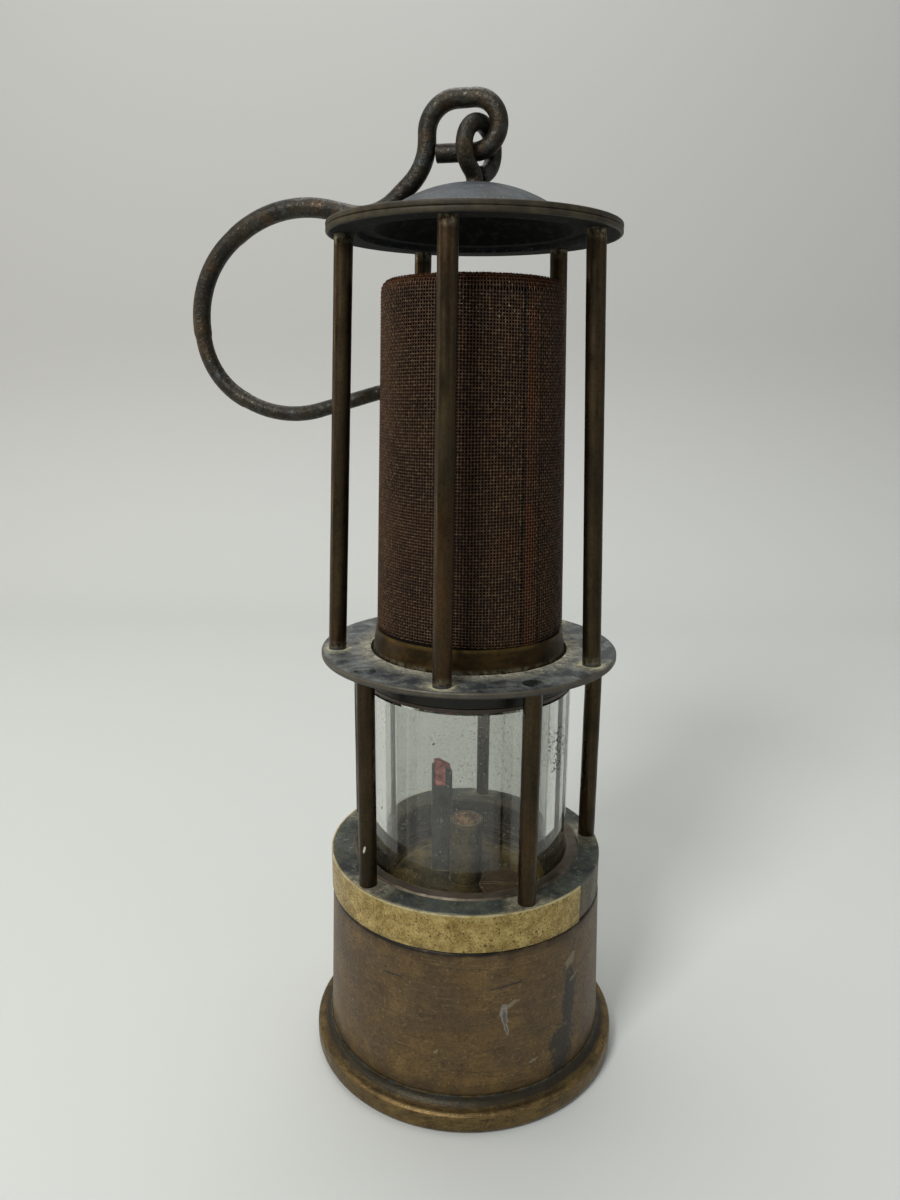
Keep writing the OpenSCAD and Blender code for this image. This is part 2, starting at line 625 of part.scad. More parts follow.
// Rod bent to an eye; its shank goes down through the dome and is riveted over a washer
module swivel_eye() color("#3a352c") rotate([0, 0, eye_turn]) {
    translate([0, 0, swivel_foot_z]) {
        mirror([0, 0, 1]) translate([0, 0, -swivel_head_h]) rivet_head(swivel_head_r, swivel_head_h);
        bent_rod([
            [eye_bend_z - swivel_foot_z, eye_bend_r, -eye_neck, eye_rod_r],
            [eye_run, eye_r, 270 + eye_neck - eye_gap, eye_rod_r]
        ]);
    }
}

module swivel_washer() color("#4a4237") translate([0, 0, swivel_washer_top - swivel_washer_t])
    plain_ring(eye_rod_r + fit, swivel_washer_r, swivel_washer_t);

module hook() color("#35322b") facing(hook_turn) translate([0, hook_side, 0])
    translate([hook_start[0], 0, hook_start[1]]) rotate([0, -90, 0]) bent_rod(hook_steps) {
        translate([0, 0, -bend_lap]) cylinder(r1 = hook_steps[len(hook_steps) - 1][3] - bend_hair,
            r2 = hook_tip_r, h = hook_tip_run + bend_lap, $fn = 24);
        translate([0, 0, hook_tip_run]) sphere(r = hook_tip_r, $fn = 24);
    }

base_ring();
vessel_bottom();
vessel_body();
vessel_top();
wick_tube();
round_wick();
flat_tube();
red_wick();
filler_plug();
filler_washer();
collar_ring();
collar_band();
glass_seat_ring();
lower_gasket();
glass();
upper_gasket();
gauze_ring();
gauze_ferrule();
gauze();
mid_plate();
lower_pillar(0);  // lower_pillar_1
lower_pillar(1);  // lower_pillar_2
lower_pillar(2);  // lower_pillar_3
lower_pillar(3);  // lower_pillar_4
lower_pillar(4);  // lower_pillar_5
upper_pillar(0);  // upper_pillar_1
upper_pillar(1);  // upper_pillar_2
upper_pillar(2);  // upper_pillar_3
upper_pillar(3);  // upper_pillar_4
upper_pillar(4);  // upper_pillar_5
crown_ring();
crown_cap();
swivel_eye();
swivel_washer();
hook();
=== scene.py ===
"""Looks of an old miner's safety lamp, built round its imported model.

The lamp's axis is Z and it stands on z = 0, its front towards -Y.
Lengths are metres; MM turns millimetres into them.
"""
import math

import bpy
import numpy as np
from mathutils import Matrix, Vector


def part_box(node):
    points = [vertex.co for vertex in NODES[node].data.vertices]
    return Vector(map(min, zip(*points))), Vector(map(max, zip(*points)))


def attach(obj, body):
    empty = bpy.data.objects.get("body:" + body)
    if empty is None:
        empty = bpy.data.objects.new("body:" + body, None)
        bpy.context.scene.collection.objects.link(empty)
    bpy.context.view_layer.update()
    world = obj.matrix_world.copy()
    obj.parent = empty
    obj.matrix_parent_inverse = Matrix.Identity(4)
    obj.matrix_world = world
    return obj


MM = 0.001

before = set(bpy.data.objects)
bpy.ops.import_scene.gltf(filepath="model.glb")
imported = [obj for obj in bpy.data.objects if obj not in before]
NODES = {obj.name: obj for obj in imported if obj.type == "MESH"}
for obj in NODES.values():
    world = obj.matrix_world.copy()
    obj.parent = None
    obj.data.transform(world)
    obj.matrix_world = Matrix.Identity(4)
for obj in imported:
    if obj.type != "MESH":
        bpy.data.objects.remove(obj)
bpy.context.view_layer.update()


# Places on the lamp, read from the frame

def azimuth_of(node):
    """The direction in which a node lies, in radians from the front towards the right."""
    low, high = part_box(node)
    middle = (low + high) / 2
    return math.atan2(middle.x, -middle.y)


VESSEL_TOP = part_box("vessel_body")[1].z
VESSEL_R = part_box("vessel_body")[1].y
BAND_LOW, BAND_TOP = (corner.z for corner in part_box("collar_band"))
COLLAR_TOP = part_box("collar_ring")[1].z
PLATE_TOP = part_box("mid_plate")[1].z
PLATE_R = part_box("mid_plate")[1].y
FERRULE_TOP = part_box("gauze_ferrule")[1].z
FERRULE_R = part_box("gauze_ferrule")[1].y
GAUZE_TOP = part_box("gauze")[1].z
CROWN_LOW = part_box("crown_ring")[0].z
CROWN_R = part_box("crown_cap")[1].y
CROWN_RIVET_H = 0.9 * MM
RIM_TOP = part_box("upper_pillar_1")[1].z - CROWN_RIVET_H
GLASS_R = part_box("glass")[1].x
PLUG_LOW, PLUG_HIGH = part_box("filler_plug")
PLUG_R = (PLUG_HIGH.x - PLUG_LOW.x) / 2

# The pillars' axes stand on one circle; those of the upper ones, which lean, do so at the middle plate
PILLAR_COUNT = 5
PILLAR_RING_R = 37.85 * MM
LOWER_FIRST = azimuth_of("lower_pillar_1")
UPPER_FIRST = azimuth_of("upper_pillar_1")
PILLARS = [f"{row}_pillar_{k + 1}" for row in ("lower", "upper") for k in range(PILLAR_COUNT)]


# Building of materials

def rgb(hex_colour):
    """An sRGB hex colour as the linear colour that shaders take."""
    parts = [int(hex_colour[i:i + 2], 16) / 255 for i in (1, 3, 5)]
    linear = [c / 12.92 if c <= 0.04045 else ((c + 0.055) / 1.055) ** 2.4 for c in parts]
    return (*linear, 1.0)


def add(tree, kind, inputs=(), output=None, **settings):
    """Adds one shader node and returns its first output, or the one that is named.

    Inputs are a dict by socket name, or come in order for the sockets that the settings leave in use.
    Each is another node's output, a number, a vector or a hex colour.
    """
    node = tree.nodes.new("ShaderNode" + kind)
    for name, value in settings.items():
        setattr(node, name, value)
    if isinstance(inputs, dict):
        pairs = [(node.inputs[name], value) for name, value in inputs.items()]
    else:
        pairs = zip([socket for socket in node.inputs if socket.enabled], inputs)
    for socket, value in pairs:
        if isinstance(value, bpy.types.NodeSocket):
            tree.links.new(value, socket)
        else:
            socket.default_value = rgb(value) if isinstance(value, str) else value
    live = [socket for socket in node.outputs if socket.enabled]
    return next((socket for socket in live if output in (None, socket.name)), None)


def lamp_point(tree):
    """The lamp's own coordinates in metres, in which every pattern is laid out."""
    return tree.nodes["lamp_point"].outputs["Object"]


def new_material(surface):
    """A material that takes its name from the function that gives its surface."""
    material = bpy.data.materials.new(surface.__name__)
    material.use_nodes = True
    tree = material.node_tree
    tree.nodes.clear()
    add(tree, "TexCoord", name="lamp_point")
    add(tree, "OutputMaterial", (surface(tree),))
    return material


def finish(surface, *nodes):
    """Gives CAD nodes their material."""
    material = new_material(surface)
    for node in nodes:
        slots = NODES[node].data.materials
        slots.clear()
        slots.append(material)


def shader(tree, colour, metallic, roughness, height, depth, specular=0.5):
    """The shader of a solid surface; depth is the real depth of its relief."""
    normal = add(tree, "Bump", {"Height": height, "Distance": depth})
    return add(tree, "BsdfPrincipled", {
        "Base Color": colour, "Metallic": metallic, "Roughness": roughness,
        "Specular IOR Level": specular, "Normal": normal})


def coats(tree, ground, *laid):
    """Colours laid one over another: each is a colour and the masks that it is laid through."""
    for colour, *masks in laid:
        amount = masks[0]
        for mask in masks[1:]:
            amount = add(tree, "Math", (amount, mask), operation="MULTIPLY")
        ground = add(tree, "Mix", (amount, ground, colour), data_type="RGBA")
    return ground


# Masks: each is 0 where nothing is laid and up to most where it is

# The grain of worked metal is about 0.1 mm, and is drawn this coarse so that it shows
TURNED_GRAIN = 0.7 * MM
SHEET_GRAIN = 0.8 * MM

# Cosine of the turn at which an edge starts to be worn, and of that at which it is worn most
WEAR_STARTS, WEAR_FULL = 0.995, 0.9

# Upward part of the normal at which an underside starts, and at which it is taken as one
UNDERSIDE_STARTS, UNDERSIDE_FULL = 0.05, -0.2

# A mark goes this deep, so that it shows on the front only. Its unevenness adds a share of fray to
# the distance from its middle, which the limit of the mark allows for
MARK_DEPTH = 6 * MM
MARK_RAGGEDNESS = 1.1 * MM
MARK_EDGE = 0.2
UNEVEN_SHARE = 0.4


def patches(tree, size, low, high, most=1.0, stretch=(1, 1, 1), shift=0.0, detail=4.0, rough=0.6):
    """Uneven patches of about a real size, where noise rises from low to high.

    A stretch above 1 makes them shorter that way, and each shift gives another pattern.
    """
    scale = [factor / size for factor in stretch]
    place = add(tree, "Mapping", {"Vector": lamp_point(tree), "Location": (shift,) * 3, "Scale": scale})
    noise = add(tree, "TexNoise", {"Vector": place, "Scale": 1.0, "Detail": detail, "Roughness": rough})
    return add(tree, "MapRange", (noise, low, high, 0.0, most))


def by_height(tree, start, end, most=1.0):
    """From the height start to the height end, which may be the lower one."""
    height = add(tree, "SeparateXYZ", (lamp_point(tree),), "Z")
    return add(tree, "MapRange", (height, start, end, 0.0, most))


def radius(tree):
    """Distance from the lamp's axis."""
    flat = add(tree, "VectorMath", (lamp_point(tree), (1, 1, 0)), operation="MULTIPLY")
    return add(tree, "VectorMath", (flat,), operation="LENGTH")


def by_radius(tree, start, end, most=1.0):
    """From the radius start to the radius end, which may be the smaller one."""
    return add(tree, "MapRange", (radius(tree), start, end, 0.0, most))


def azimuth(tree):
    """Direction from the lamp's axis, in radians from the front towards the right."""
    x = add(tree, "SeparateXYZ", (lamp_point(tree),), "X")
    y = add(tree, "SeparateXYZ", (lamp_point(tree),), "Y")
    ahead = add(tree, "Math", (y, -1.0), operation="MULTIPLY")
    return add(tree, "Math", (x, ahead), operation="ARCTAN2")


def by_azimuth(tree, start, end, most=1.0):
    """From the direction start to the direction end, in degrees."""
    return add(tree, "MapRange", (azimuth(tree), math.radians(start), math.radians(end), 0.0, most))


def at_pillars(tree, first, start, end, fray):
    """From start to end off the nearest of five pillars' axes, whose limit wanders by up to fray."""
    spacing = 2 * math.pi / PILLAR_COUNT
    past_first = add(tree, "Math", (azimuth(tree), first - spacing / 2), operation="SUBTRACT")
    in_bay = add(tree, "Math", (past_first, spacing), operation="FLOORED_MODULO")
    off_axis = add(tree, "Math", (in_bay, spacing / 2), operation="SUBTRACT")
    aside = add(tree, "Math", (off_axis, PILLAR_RING_R), operation="MULTIPLY")
    out = add(tree, "Math", (radius(tree), PILLAR_RING_R), operation="SUBTRACT")
    away = add(tree, "VectorMath", (add(tree, "CombineXYZ", (aside, out)),), operation="LENGTH")
    wander = patches(tree, 3.5 * MM, 0.3, 0.75, most=fray, shift=9)
    frayed = add(tree, "Math", (away, wander), operation="ADD")
    return add(tree, "MapRange", (frayed, start, end, 0.0, 1.0))


def worn_edges(tree, reach, most=1.0):
    """Where the surface turns within a short reach: the edges that hands and cloths rub."""
    rounded = add(tree, "Bevel", (reach,), samples=4)
    flat = add(tree, "NewGeometry", (), "Normal")
    level = add(tree, "VectorMath", (rounded, flat), operation="DOT_PRODUCT")
    return add(tree, "MapRange", (level, WEAR_STARTS, WEAR_FULL, 0.0, most))


def facing_down(tree, most=1.0):
    """Undersides, where the surface faces down."""
    up = add(tree, "SeparateXYZ", (add(tree, "NewGeometry", (), "Normal"),), "Z")
    return add(tree, "MapRange", (up, UNDERSIDE_STARTS, UNDERSIDE_FULL, 0.0, most))


def marks(tree, surface_r, places, most=1.0, fray=0.8):
    """Knocks, stains and spots on the front of a round surface, with edges as ragged as fray says.

    Each place is its middle across and up, its width and length in mm, and its lean in degrees.
    """
    uneven = patches(tree, MARK_RAGGEDNESS, 0.3, 0.8, most=fray, shift=21, detail=3)
    limit = 1.0 + UNEVEN_SHARE * fray
    total = 0.0
    for across, up, width, length, lean in places:
        front = -math.sqrt(surface_r ** 2 - (across * MM) ** 2)
        inside = add(tree, "Mapping", {
            "Vector": lamp_point(tree),
            "Location": (across * MM, front, up * MM),
            "Rotation": (0, math.radians(lean), 0),
            "Scale": (width / 2 * MM, MARK_DEPTH, length / 2 * MM)}, vector_type="TEXTURE")
        reach = add(tree, "VectorMath", (inside,), operation="LENGTH")
        frayed = add(tree, "Math", (reach, uneven), operation="ADD")
        mark = add(tree, "MapRange", (frayed, limit + MARK_EDGE, limit - MARK_EDGE, 0.0, most))
        total = add(tree, "Math", (total, mark), operation="MAXIMUM")
    return total


# Vessel

# Places of marks: across, up, width, length, lean
VESSEL_KNOCKS = [(11.0, 33.6, 2.1, 6.0, -4), (11.6, 29.8, 1.1, 5.5, -16)]
KNOCK_HOLLOWS = [(11.1, 33.2, 1.0, 4.4, -6), (11.7, 29.4, 0.5, 3.0, -16)]
VESSEL_SCUFFS = [
    (30.0, 43.2, 2.2, 4.0, 25), (31.0, 37.0, 0.9, 3.2, 55), (-7.5, 22.5, 0.8, 1.6, 40),
    (19.5, 17.0, 0.9, 2.4, 70), (12.7, 36.6, 1.3, 4.8, 61),
]
VESSEL_STAINS = [
    (28.4, 17.0, 7.5, 17, 6), (26.8, 20.0, 5.0, 8, 30), (30.0, 31.0, 4.0, 20, 3),
    (-20.0, 43.1, 0.6, 5.4, 88), (11.5, 42.6, 0.6, 9.5, 83),
]


def brass_drawn_brown_patina(tree):
    """Vessel wall: brass sheet, drawn, under decades of patina. That makes it satin and brown-gold.

    Hands and cloths have drawn the patina into faint smears round it, rubbed out gold specks and
    left it more golden low down. Under the collar's band lies a dark band that is partly stains and
    partly painted shade, with a thin painted shadow in the gap, darkest at the left and front. Knocks
    show pale with a dark hollow, scuffs show pale, and oil has left dark stains.
    """
    grain = patches(tree, SHEET_GRAIN, 0.34, 0.68, stretch=(1, 1, 1.5), shift=5, rough=0.7)
    colour = coats(
        tree, "#5a462b",
        ("#6e5836", patches(tree, 15 * MM, 0.38, 0.66, detail=5)),
        ("#80683f", patches(tree, 7 * MM, 0.48, 0.7, most=0.5, shift=2, detail=6, rough=0.7)),
        ("#4b4035", patches(tree, 12 * MM, 0.42, 0.66, most=0.7, shift=9, detail=6)),
        ("#8b6f3d", by_height(tree, 22 * MM, 14 * MM), patches(tree, 6 * MM, 0.42, 0.66, most=0.6, shift=35)),
        ("#41331f", grain, patches(tree, 5 * MM, 0.3, 0.6, most=0.8, shift=31)),
        ("#3c3023", patches(tree, 9 * MM, 0.54, 0.66, most=0.4, stretch=(1, 1, 14), shift=47, detail=5)),
        ("#8f7a52", patches(tree, 7 * MM, 0.58, 0.7, most=0.35, stretch=(1, 1, 14), shift=52, detail=5)),
        ("#33281b", patches(tree, 1.2 * MM, 0.53, 0.64, most=0.5, shift=71, detail=5, rough=0.8)),
        ("#a08a60", patches(tree, 1.2 * MM, 0.57, 0.68, most=0.45, shift=83, detail=5, rough=0.8)),
        ("#281f16", patches(tree, 1.4 * MM, 0.66, 0.71, most=0.6, shift=11, detail=3)),
        ("#30271a", by_height(tree, 15 * MM, 9 * MM, most=0.5)),
        # Painted shade under the collar's band, laid over ragged dark stains at the vessel's top
        ("#241b12", by_height(tree, VESSEL_TOP - 3.5 * MM, VESSEL_TOP),
         patches(tree, 7 * MM, 0.36, 0.56, most=0.9, stretch=(1, 1, 0.4), shift=17)),
        # Painted shadow: a thin dark line in the gap under the band, darkest at the left and front
        ("#0d0a07", by_height(tree, VESSEL_TOP - 1.2 * MM, VESSEL_TOP - 0.5 * MM),
         by_azimuth(tree, 25, 10), patches(tree, 5 * MM, 0.3, 0.5, most=0.95, shift=41)),
        ("#26282a", marks(tree, VESSEL_R, VESSEL_STAINS, most=0.8, fray=1.0)),
        ("#8b8470", marks(tree, VESSEL_R, VESSEL_SCUFFS, most=0.5, fray=1.2)),
        ("#86847c", marks(tree, VESSEL_R, VESSEL_KNOCKS, most=0.8, fray=0.9)),
        ("#4c4b47", marks(tree, VESSEL_R, KNOCK_HOLLOWS, most=0.8, fray=0.9)),
    )
    rough = add(tree, "MapRange", (grain, 0.0, 1.0, 0.4, 0.56))
    return shader(tree, colour, 0.6, rough, grain, 0.03 * MM)


def brass_turned_foot(tree):
    """Foot ring: brass, turned: satin, gold-brown where it is handled, with grey-blue dirt in its cove."""
    grain = patches(tree, TURNED_GRAIN, 0.38, 0.66, shift=3, rough=0.7)
    colour = coats(
        tree, "#56462b",
        ("#7b653d", patches(tree, 7 * MM, 0.38, 0.66, detail=5)),
        ("#33291a", grain, patches(tree, 5 * MM, 0.3, 0.6, most=0.7, shift=12)),
        ("#2d251a", patches(tree, 4 * MM, 0.53, 0.66, most=0.6, stretch=(1, 1, 8), shift=47, detail=5)),
        ("#947c4b", patches(tree, 3 * MM, 0.56, 0.68, most=0.5, stretch=(1, 1, 8), shift=52, detail=6)),
        ("#26251f", by_height(tree, 6.6 * MM, 7.4 * MM), by_radius(tree, 46 * MM, 44.5 * MM, most=0.9)),
        ("#4a5052", by_height(tree, 8.4 * MM, 9.2 * MM), patches(tree, 6 * MM, 0.42, 0.6, most=0.6, shift=6)),
        ("#2b241a", by_height(tree, 2.2 * MM, 0.2 * MM, most=0.6)),
        ("#a08a58", worn_edges(tree, 0.7 * MM), patches(tree, 3 * MM, 0.35, 0.6, most=0.6, shift=8)),
    )
    rough = add(tree, "MapRange", (grain, 0.0, 1.0, 0.34, 0.52))
    return shader(tree, colour, 0.8, rough, grain, 0.04 * MM)


# Collar

def brass_rolled_strip_pitted(tree):
    """Band: brass strip, rolled and soldered on: satin, rubbed to a pale khaki-gold.

    It has brown freckles and dark pits 0.5 to 0.8 mm wide, painted shade along its lower edge and
    a painted highlight along its upper edge.
    """
    pits = patches(tree, 0.5 * MM, 0.52, 0.64, shift=6, detail=3)
    colour = coats(
        tree, "#8a7540",
        ("#b8a368", patches(tree, 4 * MM, 0.38, 0.64, detail=6, rough=0.7)),
        ("#7d6030", patches(tree, 1.6 * MM, 0.48, 0.66, most=0.6, shift=4, detail=5)),
        ("#4d3f22", pits, patches(tree, 5 * MM, 0.3, 0.55, most=0.75, shift=16)),
        ("#cdbf8c", patches(tree, 0.8 * MM, 0.6, 0.72, most=0.45, shift=29, detail=3)),
        ("#231d13", patches(tree, 0.8 * MM, 0.67, 0.71, most=0.85, shift=7, detail=1)),
        # Painted shade along the band's lower edge
        ("#4c4330", by_height(tree, BAND_LOW + 1.4 * MM, BAND_LOW + 0.2 * MM),
         patches(tree, 4 * MM, 0.4, 0.6, most=0.6, shift=19)),
        # Painted highlight along the band's upper edge
        ("#c9c09a", by_height(tree, BAND_TOP - 0.6 * MM, BAND_TOP - 0.2 * MM),
         patches(tree, 5 * MM, 0.3, 0.55, most=0.75, shift=23)),
    )
    pressed = add(tree, "Math", (pits, -0.5), operation="MULTIPLY")
    rough = add(tree, "MapRange", (pits, 0.0, 1.0, 0.38, 0.6))
    return shader(tree, colour, 0.7, rough, pressed, 0.06 * MM)


def iron_turned_slate_patina(tree):
    """Collar: iron, turned: dull, mottled dark slate above and brown-grey on its side.

    Solder has left pale tan smears round the pillars' feet.
    """
    clouds = patches(tree, 7 * MM, 0.4, 0.62, detail=5)
    grain = patches(tree, TURNED_GRAIN, 0.38, 0.68, shift=5, rough=0.7)
    side = coats(tree, "#473f31", ("#675c45", clouds))
    colour = coats(
        tree, "#262b2d",
        ("#474d4a", clouds),
        ("#5d624c", patches(tree, 3.2 * MM, 0.46, 0.66, most=0.7, shift=3, detail=6)),
        ("#858878", patches(tree, 2.4 * MM, 0.56, 0.7, most=0.7, shift=27, detail=6)),
        ("#3a3021", patches(tree, 5 * MM, 0.52, 0.68, most=0.6, shift=37)),
        (side, by_height(tree, COLLAR_TOP - 0.2 * MM, COLLAR_TOP - 1.2 * MM)),
        ("#a8a088", at_pillars(tree, LOWER_FIRST, 11 * MM, 6 * MM, fray=6 * MM),
         by_height(tree, COLLAR_TOP - 1.2 * MM, COLLAR_TOP - 0.2 * MM),
         patches(tree, 1.6 * MM, 0.3, 0.58, most=0.8, shift=12)),
        ("#1d1e1b", grain, patches(tree, 4 * MM, 0.3, 0.55, most=0.55, shift=14)),
        ("#8b8468", worn_edges(tree, 0.5 * MM), patches(tree, 3 * MM, 0.3, 0.6, most=0.5, shift=8)),
    )
    rough = add(tree, "MapRange", (grain, 0.0, 1.0, 0.42, 0.62))
    return shader(tree, colour, 0.5, rough, grain, 0.03 * MM)


def brass_seat_dull(tree):
    """Glass seat: brass, turned, gone dull pinkish brown, with its inner edge rubbed pale."""
    clouds = patches(tree, 5 * MM, 0.38, 0.66, detail=5)
    colour = coats(
        tree, "#3a3226",
        ("#5a5044", clouds),
        ("#352c1c", by_height(tree, COLLAR_TOP - 0.6 * MM, COLLAR_TOP - 2.5 * MM, most=0.6)),
        ("#a4967f", worn_edges(tree, 0.5 * MM), patches(tree, 3 * MM, 0.38, 0.6, most=0.75, shift=3)),
    )
    rough = add(tree, "MapRange", (clouds, 0.0, 1.0, 0.36, 0.46))
    return shader(tree, colour, 0.65, rough, clouds, 0.02 * MM)


# Burner

# A lathe's lines are 0.3 mm apart here, and are drawn at three times that so that they show
TURNED_LINE_PITCH = 0.9 * MM


def turned_lines(tree):
    """The fine rings that the lathe has left round the lamp's axis."""
    phase = add(tree, "Math", (radius(tree), 2 * math.pi / TURNED_LINE_PITCH), operation="MULTIPLY")
    return add(tree, "Math", (phase,), operation="SINE")


def brass_turned_oily(tree):
    """Vessel top and wick tube: brass, turned, under years of oil and soot: brown and uneven in gloss.

    The turned rings show in it, it is golden where it is rubbed, and dirt rings the filler plug.
    """
    rings = turned_lines(tree)
    from_plug = add(tree, "VectorMath", (lamp_point(tree), (PLUG_LOW + PLUG_HIGH) / 2), operation="SUBTRACT")
    aside = add(tree, "VectorMath", (from_plug, (1, 1, 0)), operation="MULTIPLY")
    off_plug = add(tree, "VectorMath", (aside,), operation="LENGTH")
    colour = coats(
        tree, "#463c26",
        ("#6b5b3a", patches(tree, 6 * MM, 0.36, 0.66, detail=5)),
        ("#a08544", patches(tree, 8 * MM, 0.38, 0.56, most=0.85, shift=6), by_radius(tree, 14 * MM, 24 * MM)),
        ("#221f18", patches(tree, 3 * MM, 0.5, 0.7, most=0.65, shift=4, detail=5)),
        ("#2a241a", add(tree, "MapRange", (rings, 0.2, 1.0, 0.0, 0.45))),
        ("#14110c", add(tree, "MapRange", (off_plug, PLUG_R + 1.6 * MM, PLUG_R + 0.6 * MM, 0.0, 0.9))),
        ("#9b988a", patches(tree, 0.6 * MM, 0.64, 0.7, most=0.7, shift=8, detail=2)),
        ("#b5a67e", worn_edges(tree, 0.4 * MM, most=0.8)),
    )
    rough = add(tree, "MapRange", (patches(tree, 3 * MM, 0.3, 0.7, shift=4), 0.0, 1.0, 0.32, 0.55))
    return shader(tree, colour, 0.55, rough, rings, 0.02 * MM)


def brass_plug_brown(tree):
    """Filler plug: brass, turned: satin and brown with old oil, with its edge rubbed pale."""
    clouds = patches(tree, 3 * MM, 0.38, 0.66)
    colour = coats(
        tree, "#3e2e22",
        ("#5f4a37", clouds),
        ("#b09c76", worn_edges(tree, 0.5 * MM), patches(tree, 3 * MM, 0.3, 0.55, most=0.8, shift=3)),
    )
    rough = add(tree, "MapRange", (clouds, 0.0, 1.0, 0.35, 0.5))
    return shader(tree, colour, 0.6, rough, clouds, 0.03 * MM)


def tinplate_sooty(tree):
    """Flat tube: tinned sheet, folded, under soot: dark grey and dull."""
    clouds = patches(tree, 4 * MM, 0.38, 0.68, stretch=(1, 1, 0.5), detail=5)
    colour = coats(
        tree, "#2c2c28",
        ("#4b4b44", clouds),
        ("#77766a", worn_edges(tree, 0.3 * MM, most=0.4)),
    )
    rough = add(tree, "MapRange", (clouds, 0.0, 1.0, 0.6, 0.45))
    return shader(tree, colour, 0.4, rough, clouds, 0.05 * MM)


def cotton(tree, dark, light):
    """Plaited cotton: matt, with fibres 0.1 mm thick that are drawn at 0.5 mm so that they show."""
    fibres = patches(tree, 0.5 * MM, 0.35, 0.7)
    colour = coats(
        tree, dark,
        (light, patches(tree, 2.2 * MM, 0.38, 0.66, shift=3)),
        (dark, fibres, patches(tree, 1.5 * MM, 0.3, 0.6, most=0.6, shift=5)),
        ("#b3aa98", patches(tree, 0.6 * MM, 0.66, 0.71, most=0.6, shift=9, detail=1)),
    )
    return shader(tree, colour, 0.0, 0.9, fibres, 0.3 * MM, specular=0.2)


def cotton_wick_charred(tree):
    """Round wick: plaited cotton, charred to rough browns, with specks of pale ash."""
    return cotton(tree, "#463424", "#9f7a58")


def cotton_wick_red(tree):
    """Flat wick: plaited cotton, dyed red and faded."""
    return cotton(tree, "#8f433a", "#e08f84")


def leather_oiled(tree):
    """Gaskets and washer: leather, oiled: near black and slightly shiny."""
    grain = patches(tree, 0.7 * MM, 0.35, 0.7)
    colour = coats(tree, "#2a1f16", ("#46341f", grain))
    return shader(tree, colour, 0.0, 0.5, grain, 0.05 * MM)


# Glass

# Places of marks, as on the vessel
GLASS_LACE = [(25.8, 102.0, 7.0, 14.0, 6)]
GLASS_SPOTS = [(-24.0, 84.0, 0.4, 1.0, 20), (-9.0, 108.0, 0.5, 0.8, 60)]


def glass_drawn_tube(tree):
    """Lamp glass: a drawn tube, 5.5 mm thick: clear and glossy, and faintly grey, partly with a film
    of soot and partly as painted shade.

    Pale specks and dark spots lie on it, and at its right a lace of thin dark threads, which are
    the outlines of patches. Rays to the lights pass straight through it, so that the burner inside
    is lit.
    """
    # The clear glass's grey is partly soot film and partly painted shade that dims what is seen through it
    clear = add(tree, "BsdfPrincipled", {
        "Base Color": "#dcded9", "Roughness": 0.015, "IOR": 1.52, "Transmission Weight": 1.0})
    dirt = add(tree, "BsdfPrincipled", {"Base Color": "#a5a193", "Roughness": 0.8})
    soot = add(tree, "BsdfPrincipled", {"Base Color": "#2b2821", "Roughness": 0.7})
    film = patches(tree, 10 * MM, 0.45, 0.75, most=0.02, stretch=(1, 1, 0.5), shift=3, detail=5)
    specks = patches(tree, 0.6 * MM, 0.72, 0.75, most=0.6, detail=1)
    dirty = add(tree, "Math", (film, specks), operation="MAXIMUM")
    spots = add(tree, "Math", (
        patches(tree, 0.45 * MM, 0.7, 0.73, most=0.8, shift=14, detail=1),
        marks(tree, GLASS_R, GLASS_SPOTS, most=0.8)), operation="MAXIMUM")
    threads = add(tree, "Math", (
        patches(tree, 2.4 * MM, 0.45, 0.475, shift=61, detail=2),
        patches(tree, 2.4 * MM, 0.55, 0.525, shift=61, detail=2)), operation="MULTIPLY")
    lace = add(tree, "Math", (threads, marks(tree, GLASS_R, GLASS_LACE, most=0.85)), operation="MULTIPLY")
    dark = add(tree, "Math", (spots, lace), operation="MAXIMUM")
    dusty = add(tree, "MixShader", (dirty, clear, dirt))
    glass = add(tree, "MixShader", (dark, dusty, soot))
    open_way = add(tree, "BsdfTransparent", ("#e6e8e3",))
    to_light = add(tree, "LightPath", (), "Is Shadow Ray")
    return add(tree, "MixShader", (to_light, glass, open_way))


# Cage

# Places of marks, as on the vessel
PILLAR_CHIPS = [(-27.9, 76.6, 0.6, 2.4, 14)]


